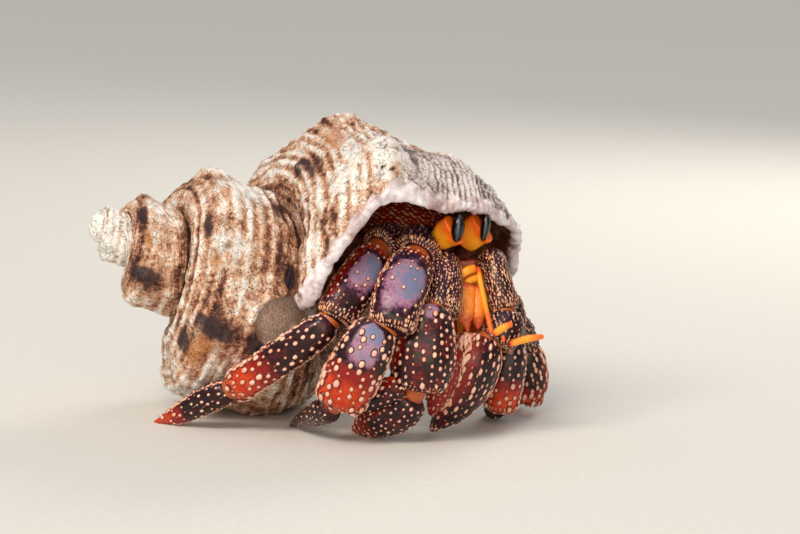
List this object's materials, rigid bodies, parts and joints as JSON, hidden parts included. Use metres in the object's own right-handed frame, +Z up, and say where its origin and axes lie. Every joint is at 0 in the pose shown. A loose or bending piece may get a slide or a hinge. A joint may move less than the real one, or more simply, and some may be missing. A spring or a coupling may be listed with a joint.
{
  "type": "land hermit crab in a turban shell",
  "caption": "Life-size still model of a pearled land hermit crab leaning out of a knobbed turban shell, legs and claws set down on the floor.",
  "frame": {"origin": "on the floor under the middle of the model's box", "axes": "+Z up, +X from the shell's apex towards the animal, -Y towards the open side of the shell"},
  "size_m": [0.068, 0.0514, 0.0445],
  "materials": {
    "shell": "matt, chalky, with spiral cords and brown streaks",
    "plate": "glossy dark maroon with cream pearls",
    "tip": "glossy red-orange with cream pearls",
    "orange": "satin orange",
    "eye": "wet black-grey",
    "soft": "soft skin"
  },
  "bodies": {
    "root": {"shell": "shell", "antennule_right": "orange", "antennule_left": "orange", "antennule_whip_right": "orange", "antennule_whip_left": "orange", "antenna_base_right": "orange", "antenna_base_left": "orange", "antenna_whip_right": "orange", "antenna_whip_left": "orange", "maxilliped_right": "orange", "maxilliped_left": "orange", "eye_right": "eye", "eye_left": "eye", "eyestalk_right": "orange", "eyestalk_left": "orange", "leg3_right_dactylus": "tip", "leg3_right_propodus": "plate", "leg3_right_carpus": "plate", "leg3_right_merus": "plate", "leg2_right_dactylus": "tip", "leg2_right_propodus": "tip", "leg2_right_carpus": "plate", "leg2_right_merus": "plate", "cheliped_right_dactyl": "orange", "cheliped_right_palm": "plate", "cheliped_right_carpus": "plate", "cheliped_right_merus": "plate", "cheliped_left_dactyl": "orange", "cheliped_left_palm": "plate", "cheliped_left_carpus": "plate", "cheliped_left_merus": "plate", "leg2_left_dactylus": "tip", "leg2_left_propodus": "tip", "leg2_left_carpus": "plate", "leg2_left_merus": "plate", "leg3_left_dactylus": "tip", "leg3_left_propodus": "tip", "leg3_left_carpus": "plate", "leg3_left_merus": "plate", "leg4_right": "soft", "leg4_left": "soft", "leg5_right": "soft", "leg5_left": "soft", "mouth_field": "orange", "carapace": "plate", "thorax_underside": "soft", "abdomen_front": "soft", "abdomen_rear": "soft"}
  },
  "joints": []
}
